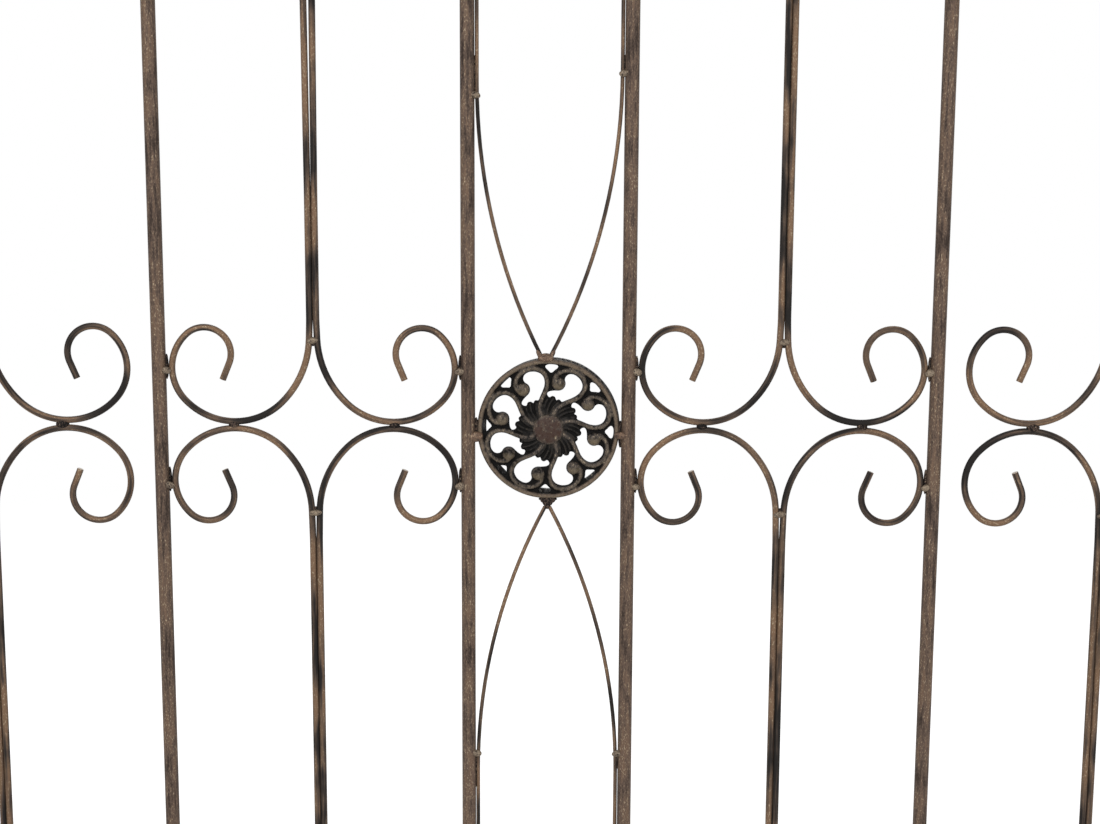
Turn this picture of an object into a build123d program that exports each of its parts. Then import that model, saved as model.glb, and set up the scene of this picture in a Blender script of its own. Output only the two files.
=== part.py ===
from build123d import *

import os
from math import cos, pi, radians, sin, sqrt

# Metal garden fence panel of five bays, about 1.3 m wide and 1.1 m tall, in millimetres.
# Two square end posts on base plates carry a bottom and a top rail. Four round bars stand between
# the rails. Each of the four wide bays has four bent wires that run from the rails along the middle
# of the bay and end in scrolls that meet at mid height. The narrow middle bay has a cast rosette
# on a hoop, between four thin lancet wires.
# X runs along the panel to the right, Y from the front to the back, and Z up. The origin is the
# middle of the left base plate's underside.

# Frame of posts and rails
post_size = 25.0
post_wall = 1.5
post_corner = 1.5
rail_size = 20.0
rail_wall = 1.2
rail_corner = 1.2
bottom_rail_height = 90.0
rail_spacing = 1000.0
post_above_rail = 30.0

# Base plates and post caps
plate_size = 80.0
plate_corner = 6.0
plate_thickness = 5.0
bolt_hole_diameter = 9.0
bolt_spacing = 56.0
cap_edge_height = 3.0
cap_top_height = 4.0
cap_top_slope = 60.0
cap_spigot_length = 18.0
cap_spigot_clearance = 0.15

# Bars and wires. A round wire is made as a square one of the same section area and weight.
bar_diameter = 12.7
bar_wall = 1.0
wire_diameter = 6.0
lancet_diameter = 3.5

# A scroll wire turns through four tangent arcs and ends in a short straight tail
scroll_radii = (84.8, 60.0, 42.0, 23.4)
scroll_turns = (45.8, 91.7, 89.8, 154.9)
scroll_tail = 16.0

# Clearances that the weld beads fill
pair_gap = 1.0
scroll_gap = 2.3
row_gap = 1.0
side_gap = 19.0
lancet_gap = 0.3
rosette_gap = 3.0

# Cast rosette: a plate with two cut-outs to each sector, and on it the rim, croziers that end in
# balls, petals and a domed hub. Round parts have few sides.
rim_diameter = 125.0
rim_width = 4.5
rim_sides = 48
casting_back = 2.4
web_front = 0.8
rim_front = 3.4
rib_front = 3.0
petal_front = 2.2
ball_front = 5.6
rosette_drop = 3.0
sector_count = 8
ball_angle = 77.7
rib_width = 3.2
petal_width = 2.4
ball_distance = 42.0
ball_diameter = 12.8
ball_sides = 8
ball_bevel = 2.4
hub_diameter = 27.0
hub_sides = 12
hub_bevel = 2.6
hub_front = 6.6

# One sector of the rosette, drawn for a rim of the size below, with its ball on the X axis
drawn_diameter = 125.0
bean_outline = (
    (33.0, 7.0), (30.0, 8.0), (27.2, 2.0), (25.2, -4.5), (28.6, -10.2), (35.0, -18.2), (40.5, -21.3),
    (46.4, -21.0), (51.0, -16.8), (53.0, -10.8), (50.6, -6.0), (45.6, -5.2), (39.6, -5.6),
    (36.0, -2.0), (35.2, 2.8),
)
gap_outline = ((49.2, 9.6), (52.0, 13.8), (55.2, 13.0), (57.0, 8.0), (54.6, 4.0), (50.2, 4.6))
crozier_line = (
    (12.0, -0.6), (19.0, -3.6), (25.5, -10.2), (32.4, -19.2), (39.0, -23.4), (46.0, -23.6),
    (52.4, -18.8), (55.8, -11.6), (54.8, -4.6), (51.0, 0.6), (46.4, 4.6),
)
petal_line = ((12.0, 5.4), (19.0, 4.2), (25.8, 1.8))

# The hoop behind the rosette
hoop_width = 5.0
hoop_depth = 5.0
hoop_shift = 1.8
hoop_rise = 1.8

# Lancet wires above and below the rosette
lancet_radius = 537.0
lancet_foot_spread = {"upper": 4.9, "lower": 1.9}
lancet_foot_gap = {"upper": 2.5, "lower": 8.9}

# Weld beads that carry the rosette
bead_radius = 3.2
bead_sides = 8
bead_length = 12.0
bead_forward = 3.0
bead_drop = 2.5
foot_weld_depth = 5.0
foot_weld_half_widths = {"upper": (7.0, 6.6), "lower": (7.5, 3.4)}
rim_grip = 2.0
wire_grip = {"upper": 3.5, "lower": 2.0}

# Places along the panel, from the middle of the rosette
bar_radius = bar_diameter / 2
wire_radius = wire_diameter / 2
wire_width = wire_radius * sqrt(pi)
thin_radius = lancet_diameter / 2
thin_width = thin_radius * sqrt(pi)
rim_radius = rim_diameter / 2
drawing_scale = rim_diameter / drawn_diameter
first_turn = radians(scroll_turns[0])
second_turn = radians(scroll_turns[0] + scroll_turns[1])
pair_offset = wire_radius + pair_gap / 2
first_centre = pair_offset + scroll_radii[0]
second_centre = first_centre - (scroll_radii[0] - scroll_radii[1]) * cos(first_turn)
third_centre = second_centre - (scroll_radii[1] - scroll_radii[2]) * cos(second_turn)
scroll_reach = third_centre + scroll_radii[2] + wire_radius
inner_bar_x = rim_radius + rosette_gap + bar_radius
inner_bay_x = inner_bar_x + bar_radius + scroll_gap + scroll_reach
outer_bar_x = inner_bay_x + scroll_reach + scroll_gap + bar_radius
outer_bay_x = outer_bar_x + bar_radius + side_gap + scroll_reach
post_x = outer_bay_x + scroll_reach + scroll_gap + post_size / 2
middle_x = post_x

# Heights
row_height = bottom_rail_height + rail_spacing / 2
rosette_height = row_height - rosette_drop
top_rail_height = bottom_rail_height + rail_spacing
wire_end_height = rail_spacing / 2 - rail_size / 2
post_top = top_rail_height + rail_size / 2 + post_above_rail

# The lowest point of a scroll touches the row, which sets where its first arc starts
second_height = row_gap / 2 + wire_radius + scroll_radii[1]
scroll_start = second_height + (scroll_radii[0] - scroll_radii[1]) * sin(first_turn)

# The lancet wires lie beside the inner bars and bend away from them in one long arc
lancet_x = inner_bar_x - bar_radius - lancet_gap - thin_radius

sides = {"left": -1, "right": 1}
levels = {"upper": 1, "lower": -1}


def facing_front(x, z, forward=0.0):
    """Upright plane through a point of the panel, with its normal to the front."""
    return Plane(origin=(x, -forward, z), x_dir=(1, 0, 0), z_dir=(0, -1, 0))


def save(piece, name):
    """Labels a piece and writes it to its own file."""
    piece.part.label = name
    export_step(piece.part, f"parts/{name}.step")


# Frame


def square_tube(size, wall, corner):
    """Draws the section of a square tube with broken outer corners in the open sketch."""
    Rectangle(size, size)
    chamfer(vertices(), length=corner)
    Rectangle(size - 2 * wall, size - 2 * wall, mode=Mode.SUBTRACT)


def make_post(x):
    with BuildPart() as post:
        with BuildSketch(Plane((x, 0, plate_thickness))):
            square_tube(post_size, post_wall, post_corner)
        extrude(amount=post_top - plate_thickness)
    return post


def make_base_plate(x):
    with BuildPart() as plate:
        with BuildSketch(Plane((x, 0, 0))) as outline:
            Rectangle(plate_size, plate_size)
            chamfer(outline.vertices(), length=plate_corner)
        extrude(amount=plate_thickness)
        with Locations((x, 0, plate_thickness)):
            with GridLocations(bolt_spacing, bolt_spacing, 2, 2):
                Hole(bolt_hole_diameter / 2)
    return plate


def make_post_cap(x):
    """A plain cap: an edge as wide as the post, a low pyramid, and a spigot inside the post."""
    spigot = post_size - 2 * post_wall - 2 * cap_spigot_clearance
    with BuildPart() as cap:
        with BuildSketch(Plane((x, 0, post_top))) as outline:
            Rectangle(post_size, post_size)
            chamfer(outline.vertices(), length=post_corner)
        extrude(amount=cap_edge_height)
        with BuildSketch(Plane((x, 0, post_top + cap_edge_height))):
            Rectangle(post_size - 2 * post_corner, post_size - 2 * post_corner)
        extrude(amount=cap_top_height, taper=cap_top_slope)
        with BuildSketch(Plane((x, 0, post_top))):
            Rectangle(spigot, spigot)
        extrude(amount=-cap_spigot_length)
    return cap


def make_rail(z):
    with BuildPart() as rail:
        with BuildSketch(Plane((post_size / 2, 0, z), x_dir=(0, 1, 0), z_dir=(1, 0, 0))):
            square_tube(rail_size, rail_wall, rail_corner)
        extrude(amount=2 * post_x - post_size)
    return rail


def make_bar(x):
    with BuildPart() as bar:
        with BuildSketch(Plane((x, 0, bottom_rail_height + rail_size / 2))):
            Circle(bar_radius)
            Circle(bar_radius - bar_wall, mode=Mode.SUBTRACT)
        extrude(amount=rail_spacing - rail_size)
    return bar


# Wires


def make_scrolls(bay_x, side):
    """The upper and the lower scroll wire on one side of a bay, as two solids."""
    with BuildPart() as scrolls:
        for level in levels.values():
            start = (side * pair_offset, level * wire_end_height)
            with BuildLine(facing_front(bay_x, row_height)) as route:
                straight = Line(start, (side * pair_offset, level * scroll_start))
                heading = straight % 1
                point = straight @ 1
                for radius, turn in zip(scroll_radii, scroll_turns):
                    arc = JernArc(point, heading, radius, side * level * turn)
                    heading = arc % 1
                    point = arc @ 1
                Line(point, point + heading * scroll_tail)
            end = (bay_x + start[0], 0, row_height + start[1])
            with BuildSketch(Plane(end, x_dir=(1, 0, 0), z_dir=(0, 0, -level))):
                Rectangle(wire_width, wire_width)
            sweep(path=route.wire())
    return scrolls


def foot_height(level_name):
    """How far the lancet wires of a level end from the row."""
    level = levels[level_name]
    return rim_radius - level * rosette_drop + lancet_foot_gap[level_name]


def make_lancet(side, level_name):
    """A thin wire that lies along an inner bar and then bends to the rosette."""
    level = levels[level_name]
    spread = lancet_foot_spread[level_name]
    run = lancet_x - spread
    rise = sqrt(lancet_radius**2 - (lancet_radius - run) ** 2)
    turn_height = foot_height(level_name) + rise
    start = (side * lancet_x, level * wire_end_height)
    foot = (side * spread, level * foot_height(level_name))
    with BuildPart() as lancet:
        with BuildLine(facing_front(middle_x, row_height)) as route:
            straight = Line(start, (side * lancet_x, level * turn_height))
            RadiusArc(straight @ 1, foot, -side * level * lancet_radius)
        end = (middle_x + start[0], 0, row_height + start[1])
        with BuildSketch(Plane(end, x_dir=(1, 0, 0), z_dir=(0, 0, -level))):
            Rectangle(thin_width, thin_width)
        sweep(path=route.wire())
    return lancet


# Rosette


def drawn(points):
    """Points of the drawn sector at the size of this rim."""
    return [(x * drawing_scale, z * drawing_scale) for x, z in points]


def strip_outline(points, width):
    """The outline of a strip of one width along a line of points."""
    spots = [Vector(*point) for point in points]
    left = []
    right = []
    for index, spot in enumerate(spots):
        ahead = spots[min(index + 1, len(spots) - 1)]
        behind = spots[max(index - 1, 0)]
        sideways = (ahead - behind).normalized().rotate(Axis.Z, 90) * (width / 2)
        left.append(spot + sideways)
        right.append(spot - sideways)
    return left + right[::-1]


def make_sketch(*outlines):
    """A flat sketch of closed outlines."""
    with BuildSketch() as sketch:
        for outline in outlines:
            with BuildLine():
                Polyline(*outline, close=True)
            make_face()
    return sketch


def make_knob(diameter, sides_around, bevel, height):
    """A prism of few sides with its upper edges bevelled, scaled with the rim."""
    with BuildPart() as knob:
        with BuildSketch():
            RegularPolygon(diameter / 2 * drawing_scale, sides_around)
        extrude(amount=height)
        chamfer(knob.faces().sort_by(Axis.Z)[-1].edges(), length=bevel)
    return knob


def make_rosette():
    """The casting: cut-out plate, rim, croziers with balls, petals and domed hub."""
    cut_outs = make_sketch(drawn(bean_outline), drawn(gap_outline))
    crozier = make_sketch(strip_outline(drawn(crozier_line), rib_width * drawing_scale))
    petal = make_sketch(strip_outline(drawn(petal_line), petal_width * drawing_scale))
    ball = make_knob(ball_diameter, ball_sides, ball_bevel, ball_front - web_front)
    hub = make_knob(hub_diameter, hub_sides, hub_bevel, hub_front - web_front)
    with BuildPart() as rosette:
        with BuildSketch(facing_front(middle_x, rosette_height, -casting_back)):
            RegularPolygon(rim_radius, rim_sides)
            with PolarLocations(0, sector_count, start_angle=ball_angle):
                add(cut_outs.sketch, mode=Mode.SUBTRACT)
        extrude(amount=casting_back + web_front)
        with BuildSketch(facing_front(middle_x, rosette_height, web_front)):
            RegularPolygon(rim_radius, rim_sides)
            RegularPolygon(rim_radius - rim_width, rim_sides, mode=Mode.SUBTRACT)
        extrude(amount=rim_front - web_front)
        for ridge, front in ((crozier, rib_front), (petal, petal_front)):
            with BuildSketch(facing_front(middle_x, rosette_height, web_front)):
                with PolarLocations(0, sector_count, start_angle=ball_angle):
                    add(ridge.sketch)
            extrude(amount=front - web_front)
        with Locations(facing_front(middle_x, rosette_height, web_front)):
            with PolarLocations(ball_distance * drawing_scale, sector_count, start_angle=ball_angle):
                add(ball.part)
            add(hub.part)
    return rosette


def make_hoop():
    """The flat hoop behind the rosette, a little above it and to its right."""
    hoop_x = middle_x + hoop_shift
    hoop_z = rosette_height + hoop_rise
    with BuildPart() as hoop:
        with BuildSketch(facing_front(hoop_x, hoop_z, -casting_back)):
            RegularPolygon(rim_radius, rim_sides)
            RegularPolygon(rim_radius - hoop_width, rim_sides, mode=Mode.SUBTRACT)
        extrude(amount=-hoop_depth)
    return hoop


def make_rosette_welds(joined):
    """Two beads between rim and bars, and two where the lancet wires meet the rim."""
    bead_x = rim_radius + rosette_gap / 2
    bead_height = rosette_height - bead_drop
    with BuildPart() as welds:
        for side in sides.values():
            left_end = (middle_x + side * bead_x - bead_length / 2, -bead_forward, bead_height)
            with BuildSketch(Plane(left_end, x_dir=(0, 1, 0), z_dir=(1, 0, 0))):
                RegularPolygon(bead_radius, bead_sides)
            extrude(amount=bead_length)
            with Locations((middle_x + side * inner_bar_x, 0, bead_height)):
                Cylinder(bar_radius, 3 * bead_radius, mode=Mode.SUBTRACT)
        for level_name, level in levels.items():
            wide, narrow = foot_weld_half_widths[level_name]
            rim_end = level * (rim_radius - level * rosette_drop - rim_grip)
            wire_end = level * (foot_height(level_name) + wire_grip[level_name])
            with BuildSketch(facing_front(middle_x, row_height)):
                with BuildLine():
                    Polyline(
                        (-wide, rim_end), (wide, rim_end), (narrow, wire_end), (-narrow, wire_end),
                        close=True,
                    )
                make_face()
            extrude(amount=foot_weld_depth / 2, both=True)
        for piece in joined:
            add(piece.part, mode=Mode.SUBTRACT)
    return welds


os.makedirs("parts", exist_ok=True)

rosette = make_rosette()
hoop = make_hoop()
welded_to_rosette = [rosette, hoop]
for side_name, side in sides.items():
    save(make_post(middle_x + side * post_x), f"{side_name}_post")
    save(make_base_plate(middle_x + side * post_x), f"{side_name}_base_plate")
    save(make_post_cap(middle_x + side * post_x), f"{side_name}_post_cap")
    save(make_bar(middle_x + side * inner_bar_x), f"inner_{side_name}_bar")
    save(make_bar(middle_x + side * outer_bar_x), f"outer_{side_name}_bar")
    for bay_name, bay_x in (("inner", inner_bay_x), ("outer", outer_bay_x)):
        for wire_name, turn_side in sides.items():
            scrolls = make_scrolls(middle_x + side * bay_x, turn_side)
            save(scrolls, f"{bay_name}_{side_name}_bay_{wire_name}_scrolls")
    for level_name in levels:
        lancet = make_lancet(side, level_name)
        welded_to_rosette.append(lancet)
        save(lancet, f"{level_name}_{side_name}_lancet")

save(make_rail(bottom_rail_height), "bottom_rail")
save(make_rail(top_rail_height), "top_rail")
save(rosette, "rosette")
save(hoop, "rosette_hoop")
save(make_rosette_welds(welded_to_rosette), "rosette_welds")
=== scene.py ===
"""Looks of a garden fence panel: bent scroll wires, a cast rosette and an old-bronze finish.

Lengths are in metres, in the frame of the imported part: X runs to the right along the panel,
Y from the front to the back, and Z up. Weld beads and drawn points are in millimetres.
"""

import logging
from collections.abc import Callable, Iterable
from dataclasses import dataclass, field, replace
from enum import Enum
from math import acos, atan2, ceil, cos, degrees, hypot, pi, radians, sin
from random import Random

import bmesh
import bpy
from mathutils import Matrix, Vector

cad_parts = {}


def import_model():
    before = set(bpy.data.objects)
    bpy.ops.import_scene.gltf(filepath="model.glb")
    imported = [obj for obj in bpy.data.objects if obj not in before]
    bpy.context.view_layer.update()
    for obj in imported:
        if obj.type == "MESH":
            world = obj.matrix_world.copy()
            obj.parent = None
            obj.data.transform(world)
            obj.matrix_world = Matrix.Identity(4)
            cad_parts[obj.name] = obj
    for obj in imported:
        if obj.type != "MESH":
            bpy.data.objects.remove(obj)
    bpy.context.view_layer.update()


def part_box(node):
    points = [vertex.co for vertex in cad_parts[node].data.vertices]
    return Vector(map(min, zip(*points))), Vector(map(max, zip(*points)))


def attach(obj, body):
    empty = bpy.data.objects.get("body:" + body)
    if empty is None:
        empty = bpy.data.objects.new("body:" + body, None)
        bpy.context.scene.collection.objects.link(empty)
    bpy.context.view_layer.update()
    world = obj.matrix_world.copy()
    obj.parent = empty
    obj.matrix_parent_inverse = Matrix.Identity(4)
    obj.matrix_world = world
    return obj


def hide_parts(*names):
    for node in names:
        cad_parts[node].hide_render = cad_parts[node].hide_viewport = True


MM = 0.001
FRONT_AXIS = Vector((0.0, -1.0, 0.0))
# The spin operator turns the other way round its axis than a rotation matrix does
SPIN_SIGN = -1.0
GRAIN = "grain"
# How far the grain of a copy is moved at most
GRAIN_SHIFT = 5.0

log = logging.getLogger("fence")

Colour = tuple[float, float, float, float]
Point = tuple[float, float]
Place = tuple[float, float, float]
Piece = bpy.types.Object
Socket = bpy.types.NodeSocket

WHITE: Colour = (1.0, 1.0, 1.0, 1.0)


class Named(Enum):
    """A choice that is also a word in the names of nodes and pieces."""

    @property
    def word(self) -> str:
        """The choice in small letters."""
        return self.name.lower()


class Side(Named):
    """The two sides of a panel, a bay or a pair of wires."""

    LEFT = -1
    RIGHT = 1


class Level(Named):
    """Above or below the row where the scrolls meet."""

    UPPER = 1
    LOWER = -1


class Slot(Enum):
    """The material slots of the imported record."""

    STEEL = "bronze_steel"
    CAST = "cast_iron"
    WELD = "weld_metal"


class Element(Enum):
    """What a mesh is made of, with the name of the mesh's list of it."""

    VERT = "verts"
    EDGE = "edges"
    FACE = "faces"


def by_level(upper: float, lower: float) -> dict[Level, float]:
    """A dataclass field with one value for each level."""
    return field(default_factory=lambda: {Level.UPPER: upper, Level.LOWER: lower})


def seeded(seed: int) -> Random:
    """A dataclass field with its own row of random numbers."""
    return field(default_factory=lambda: Random(seed))


def about_front(turn: float) -> Matrix:
    """A turn in degrees, anticlockwise as seen from the front."""
    return Matrix.Rotation(radians(turn), 4, FRONT_AXIS)


# The bench: modelling with Blender's own operators


class Bench:
    """Works one mesh at a time with Blender's operators."""

    @staticmethod
    def clear() -> None:
        """Leaves nothing selected."""
        bpy.ops.object.select_all(action="DESELECT")

    @staticmethod
    def take(obj: Piece) -> None:
        """Selects one object alone and makes it active."""
        Bench.clear()
        obj.select_set(True)
        bpy.context.view_layer.objects.active = obj

    @staticmethod
    def name_active(name: str) -> Piece:
        """Names the active object and its mesh, and returns it."""
        obj = bpy.context.object
        obj.name = name
        obj.data.name = name
        return obj

    @staticmethod
    def settle(name: str) -> Piece:
        """Names the active object and puts its place, turn and scale into its mesh."""
        bpy.ops.object.transform_apply(location=True, rotation=True, scale=True)
        return Bench.name_active(name)

    @staticmethod
    def open_mesh(obj: Piece) -> None:
        """Enters edit mode with the whole mesh selected."""
        Bench.take(obj)
        bpy.ops.object.mode_set(mode="EDIT")
        bpy.ops.mesh.select_mode(type="VERT")
        bpy.ops.mesh.select_all(action="SELECT")

    @staticmethod
    def close_mesh() -> None:
        """Points the faces outwards and leaves edit mode."""
        bpy.ops.mesh.select_all(action="SELECT")
        bpy.ops.mesh.normals_make_consistent(inside=False)
        bpy.ops.object.mode_set(mode="OBJECT")

    @staticmethod
    def pick(obj: Piece, kind: Element, test: Callable[[object], bool]) -> None:
        """Selects the parts of a mesh that pass a test, in edit mode.

        Args:
            obj: The object in edit mode.
            kind: Whether points, edges or faces are picked.
            test: Says whether one is wanted.
        """
        bpy.ops.mesh.select_mode(type=kind.name)
        bpy.ops.mesh.select_all(action="DESELECT")
        for item in getattr(bmesh.from_edit_mesh(obj.data), kind.value):
            item.select_set(test(item))
        bmesh.update_edit_mesh(obj.data)

    @staticmethod
    def copy(obj: Piece, matrix: Matrix) -> Piece:
        """Copies an object with its own mesh, and moves, turns or mirrors the mesh."""
        twin = obj.copy()
        twin.data = obj.data.copy()
        bpy.context.scene.collection.objects.link(twin)
        twin.data.transform(matrix)
        if matrix.determinant() < 0:
            twin.data.flip_normals()
        return twin

    @staticmethod
    def vary(obj: Piece, matrix: Matrix, random: Random) -> Piece:
        """Copies a piece as copy does, with its grain moved so that no two copies look alike."""
        twin = Bench.copy(obj, matrix)
        offset = random.uniform(0, GRAIN_SHIFT)
        for item in twin.data.attributes[GRAIN].data:
            item.vector = item.vector + Vector((offset, offset, offset))
        return twin

    @staticmethod
    def join(pieces: list[Piece], name: str) -> Piece:
        """Joins objects, which all sit at the origin, into one mesh."""
        Bench.take(pieces[0])
        for piece in pieces:
            piece.select_set(True)
        bpy.ops.object.join()
        return Bench.name_active(name)

    @staticmethod
    def modify(obj: Piece, kind: str, **settings: object) -> None:
        """Adds a modifier with its settings and applies it.

        Args:
            obj: The object to change.
            kind: The modifier's type.
            **settings: Its settings by name.
        """
        Bench.take(obj)
        modifier = obj.modifiers.new(kind.lower(), kind)
        for key, value in settings.items():
            setattr(modifier, key, value)
        bpy.ops.object.modifier_apply(modifier=modifier.name)

    @staticmethod
    def smooth(obj: Piece, angle: float = 35.0) -> None:
        """Shades an object smooth and keeps edges sharper than an angle in degrees."""
        Bench.take(obj)
        bpy.ops.object.shade_smooth_by_angle(angle=radians(angle))

    @staticmethod
    def mark_grain(obj: Piece, unroll: Callable[[Vector], Vector]) -> None:
        """Stores where each point lies on the straight stock that the piece was made from.

        Args:
            obj: The finished piece.
            unroll: Turns a point of the piece into across, depth and along.
        """
        grain = obj.data.attributes.new(GRAIN, "FLOAT_VECTOR", "POINT")
        values: list[float] = []
        for vertex in obj.data.vertices:
            values.extend(unroll(vertex.co))
        grain.data.foreach_set("vector", values)


def dress(obj: Piece, *finishes: "Finish") -> Piece:
    """Gives a piece its materials, in the order of their indices."""
    for finish in finishes:
        obj.data.materials.append(finish.material())
    return obj


def present(obj: Piece, slot: Slot, *replaced: str) -> None:
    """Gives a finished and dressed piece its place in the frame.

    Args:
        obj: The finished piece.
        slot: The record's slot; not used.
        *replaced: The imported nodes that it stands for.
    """
    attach(obj, "root")
    if replaced:
        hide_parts(*replaced)
    log.info("%s: %d faces, stands for %s", obj.name, len(obj.data.polygons), replaced or "itself")


def node_centre(node: str) -> Vector:
    """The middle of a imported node's box."""
    low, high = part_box(node)
    return (low + high) / 2


def row_height() -> float:
    """The height of the row, which is the middle of the bars."""
    return node_centre("outer_left_bar").z


@dataclass(frozen=True)
class Bay:
    """One of the four wide bays, with the bar on the rosette's side of it."""

    place: str
    side: Side

    @property
    def name(self) -> str:
        """The bay's name."""
        return f"{self.place}_{self.side.word}_bay"

    @property
    def bar(self) -> str:
        """The bar's name."""
        return f"{self.place}_{self.side.word}_bar"

    @property
    def free_side(self) -> Side | None:
        """The side where the scrolls of an outer bay stand clear of the bar."""
        if self.place == "inner":
            return None
        return Side.LEFT if self.side is Side.RIGHT else Side.RIGHT

    def middle(self) -> float:
        """Where the middle of the bay is along the panel."""
        ends = [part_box(f"{self.name}_{end.word}_scrolls") for end in Side]
        return (ends[0][1].x + ends[1][0].x) / 2


BAYS = tuple(Bay(place, side) for place in ("inner", "outer") for side in Side)


# Finishes


class Graph:
    """A node tree that is being wired."""

    def __init__(self, tree: bpy.types.NodeTree) -> None:
        """Starts on a node tree, whose own nodes are taken out."""
        self.tree = tree
        tree.nodes.clear()

    def node(
        self, kind: str, inputs: dict[str | int, object] | None = None, **settings: object
    ) -> bpy.types.Node:
        """Adds a node.

        Args:
            kind: The node's type.
            inputs: What goes into its sockets: another node's output, or a value.
            **settings: Its settings by name.

        Returns:
            The node.
        """
        node = self.tree.nodes.new(kind)
        for key, value in settings.items():
            setattr(node, key, value)
        for key, value in (inputs or {}).items():
            if isinstance(value, Socket):
                self.tree.links.new(value, node.inputs[key])
            else:
                node.inputs[key].default_value = value
        return node

    def place(self) -> Socket:
        """Where a spot lies in the panel's frame."""
        return self.node("ShaderNodeTexCoord").outputs["Object"]

    def normal(self, axis: str) -> Socket:
        """One part of the direction that a spot faces."""
        return self.part(self.node("ShaderNodeNewGeometry").outputs["Normal"], axis)

    def part(self, vector: Socket, axis: str) -> Socket:
        """One part of a vector."""
        return self.node("ShaderNodeSeparateXYZ", {0: vector}).outputs[axis]

    def noise(self, vector: Socket, scale: float, roughness: float = 0.5) -> Socket:
        """Noise over a vector, as a value around a half."""
        values = {"Vector": vector, "Scale": scale, "Detail": 3.0, "Roughness": roughness}
        return self.node("ShaderNodeTexNoise", values).outputs["Fac"]

    def ramp(self, value: Socket, low: object, high: object) -> Socket:
        """A smooth step from 0 at low to 1 at high."""
        values = {"Value": value, "From Min": low, "From Max": high}
        step = self.node("ShaderNodeMapRange", values, interpolation_type="SMOOTHSTEP")
        return step.outputs["Result"]

    def fall(self, value: Socket, low: object, high: object) -> Socket:
        """A smooth step from 1 at low to 0 at high."""
        return self.math("SUBTRACT", 1.0, self.ramp(value, low, high))

    def spread(self, value: Socket, ends: Point) -> Socket:
        """Spreads a value from 0 to 1 between two ends."""
        values = {"Value": value, "To Min": ends[0], "To Max": ends[1]}
        return self.node("ShaderNodeMapRange", values).outputs["Result"]

    def math(self, operation: str, first: object, second: object = 0.0) -> Socket:
        """One step of arithmetic."""
        return self.node("ShaderNodeMath", {0: first, 1: second}, operation=operation).outputs[0]

    def product(self, value: Socket, *others: object) -> Socket:
        """Multiplies a value by others."""
        for other in others:
            value = self.math("MULTIPLY", value, other)
        return value

    def scaled(self, vector: Socket, factors: object) -> Socket:
        """Multiplies a vector by another one, part by part."""
        values = {0: vector, 1: factors}
        return self.node("ShaderNodeVectorMath", values, operation="MULTIPLY").outputs[0]

    def distance(self, vector: Socket, spot: Place) -> Socket:
        """How far a vector is from a spot."""
        values = {0: vector, 1: spot}
        return self.node("ShaderNodeVectorMath", values, operation="DISTANCE").outputs["Value"]

    def mix(self, factor: object, first: object, second: object) -> Socket:
        """Mixes two colours by a factor."""
        values = {0: factor, 6: first, 7: second}
        return self.node("ShaderNodeMix", values, data_type="RGBA").outputs[2]


@dataclass(frozen=True)
class DryBrush:
    """The marks of a dry brush along the grain, in two coats, with flecks and their relief."""

    patch_scale: float = 15.0
    grit_scale: float = 1100.0
    grit_roughness: float = 0.6
    grit_stretch: Place = (1.0, 1.0, 0.4)
    under_end: float = 0.16
    over_start: float = 0.09
    over_end: float = 0.27
    fleck_grit: Point = (0.56, 0.68)
    fleck_amount: Point = (0.44, 0.62)
    streak_relief: float = 0.6

    def group(self) -> bpy.types.NodeTree:
        """The marks as a node group, which is made once.

        Returns:
            The node group.
        """
        known = bpy.data.node_groups.get("dry brush")
        if known is not None:
            return known
        tree = bpy.data.node_groups.new("dry brush", "ShaderNodeTree")
        shares = ("Streakiness", "Patchiness", "Grit")
        face = tree.interface
        face.new_socket("Vector", in_out="INPUT", socket_type="NodeSocketVector")
        for name in ("Width", "Length", "Start", *shares):
            face.new_socket(name, in_out="INPUT", socket_type="NodeSocketFloat")
        for name in ("Under", "Over", "Fleck", "Relief"):
            face.new_socket(name, in_out="OUTPUT", socket_type="NodeSocketFloat")
        graph = Graph(tree)
        given = graph.node("NodeGroupInput").outputs
        vector, start = given["Vector"], given["Start"]
        across = graph.math("DIVIDE", 1.0, given["Width"])
        along = graph.math("DIVIDE", 1.0, given["Length"])
        scale = graph.node("ShaderNodeCombineXYZ", {0: across, 1: across, 2: along}).outputs[0]
        streaks = graph.noise(graph.scaled(vector, scale), 1.0)
        patches = graph.noise(vector, self.patch_scale)
        squeezed = graph.scaled(vector, self.grit_stretch)
        grit = graph.noise(squeezed, self.grit_scale, self.grit_roughness)
        amount: object = 0.5
        for marks, share in zip((streaks, patches, grit), shares):
            swing = graph.product(graph.math("SUBTRACT", marks, 0.5), given[share])
            amount = graph.math("ADD", amount, swing)
        under_end = graph.math("ADD", start, self.under_end)
        over_start = graph.math("ADD", start, self.over_start)
        over_end = graph.math("ADD", start, self.over_end)
        on_grit = graph.ramp(grit, *self.fleck_grit)
        results = {
            "Under": graph.ramp(amount, start, under_end),
            "Over": graph.ramp(amount, over_start, over_end),
            "Fleck": graph.product(on_grit, graph.ramp(amount, *self.fleck_amount)),
            "Relief": graph.math("ADD", graph.product(streaks, self.streak_relief), grit),
        }
        graph.node("NodeGroupOutput", results)
        return tree


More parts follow.
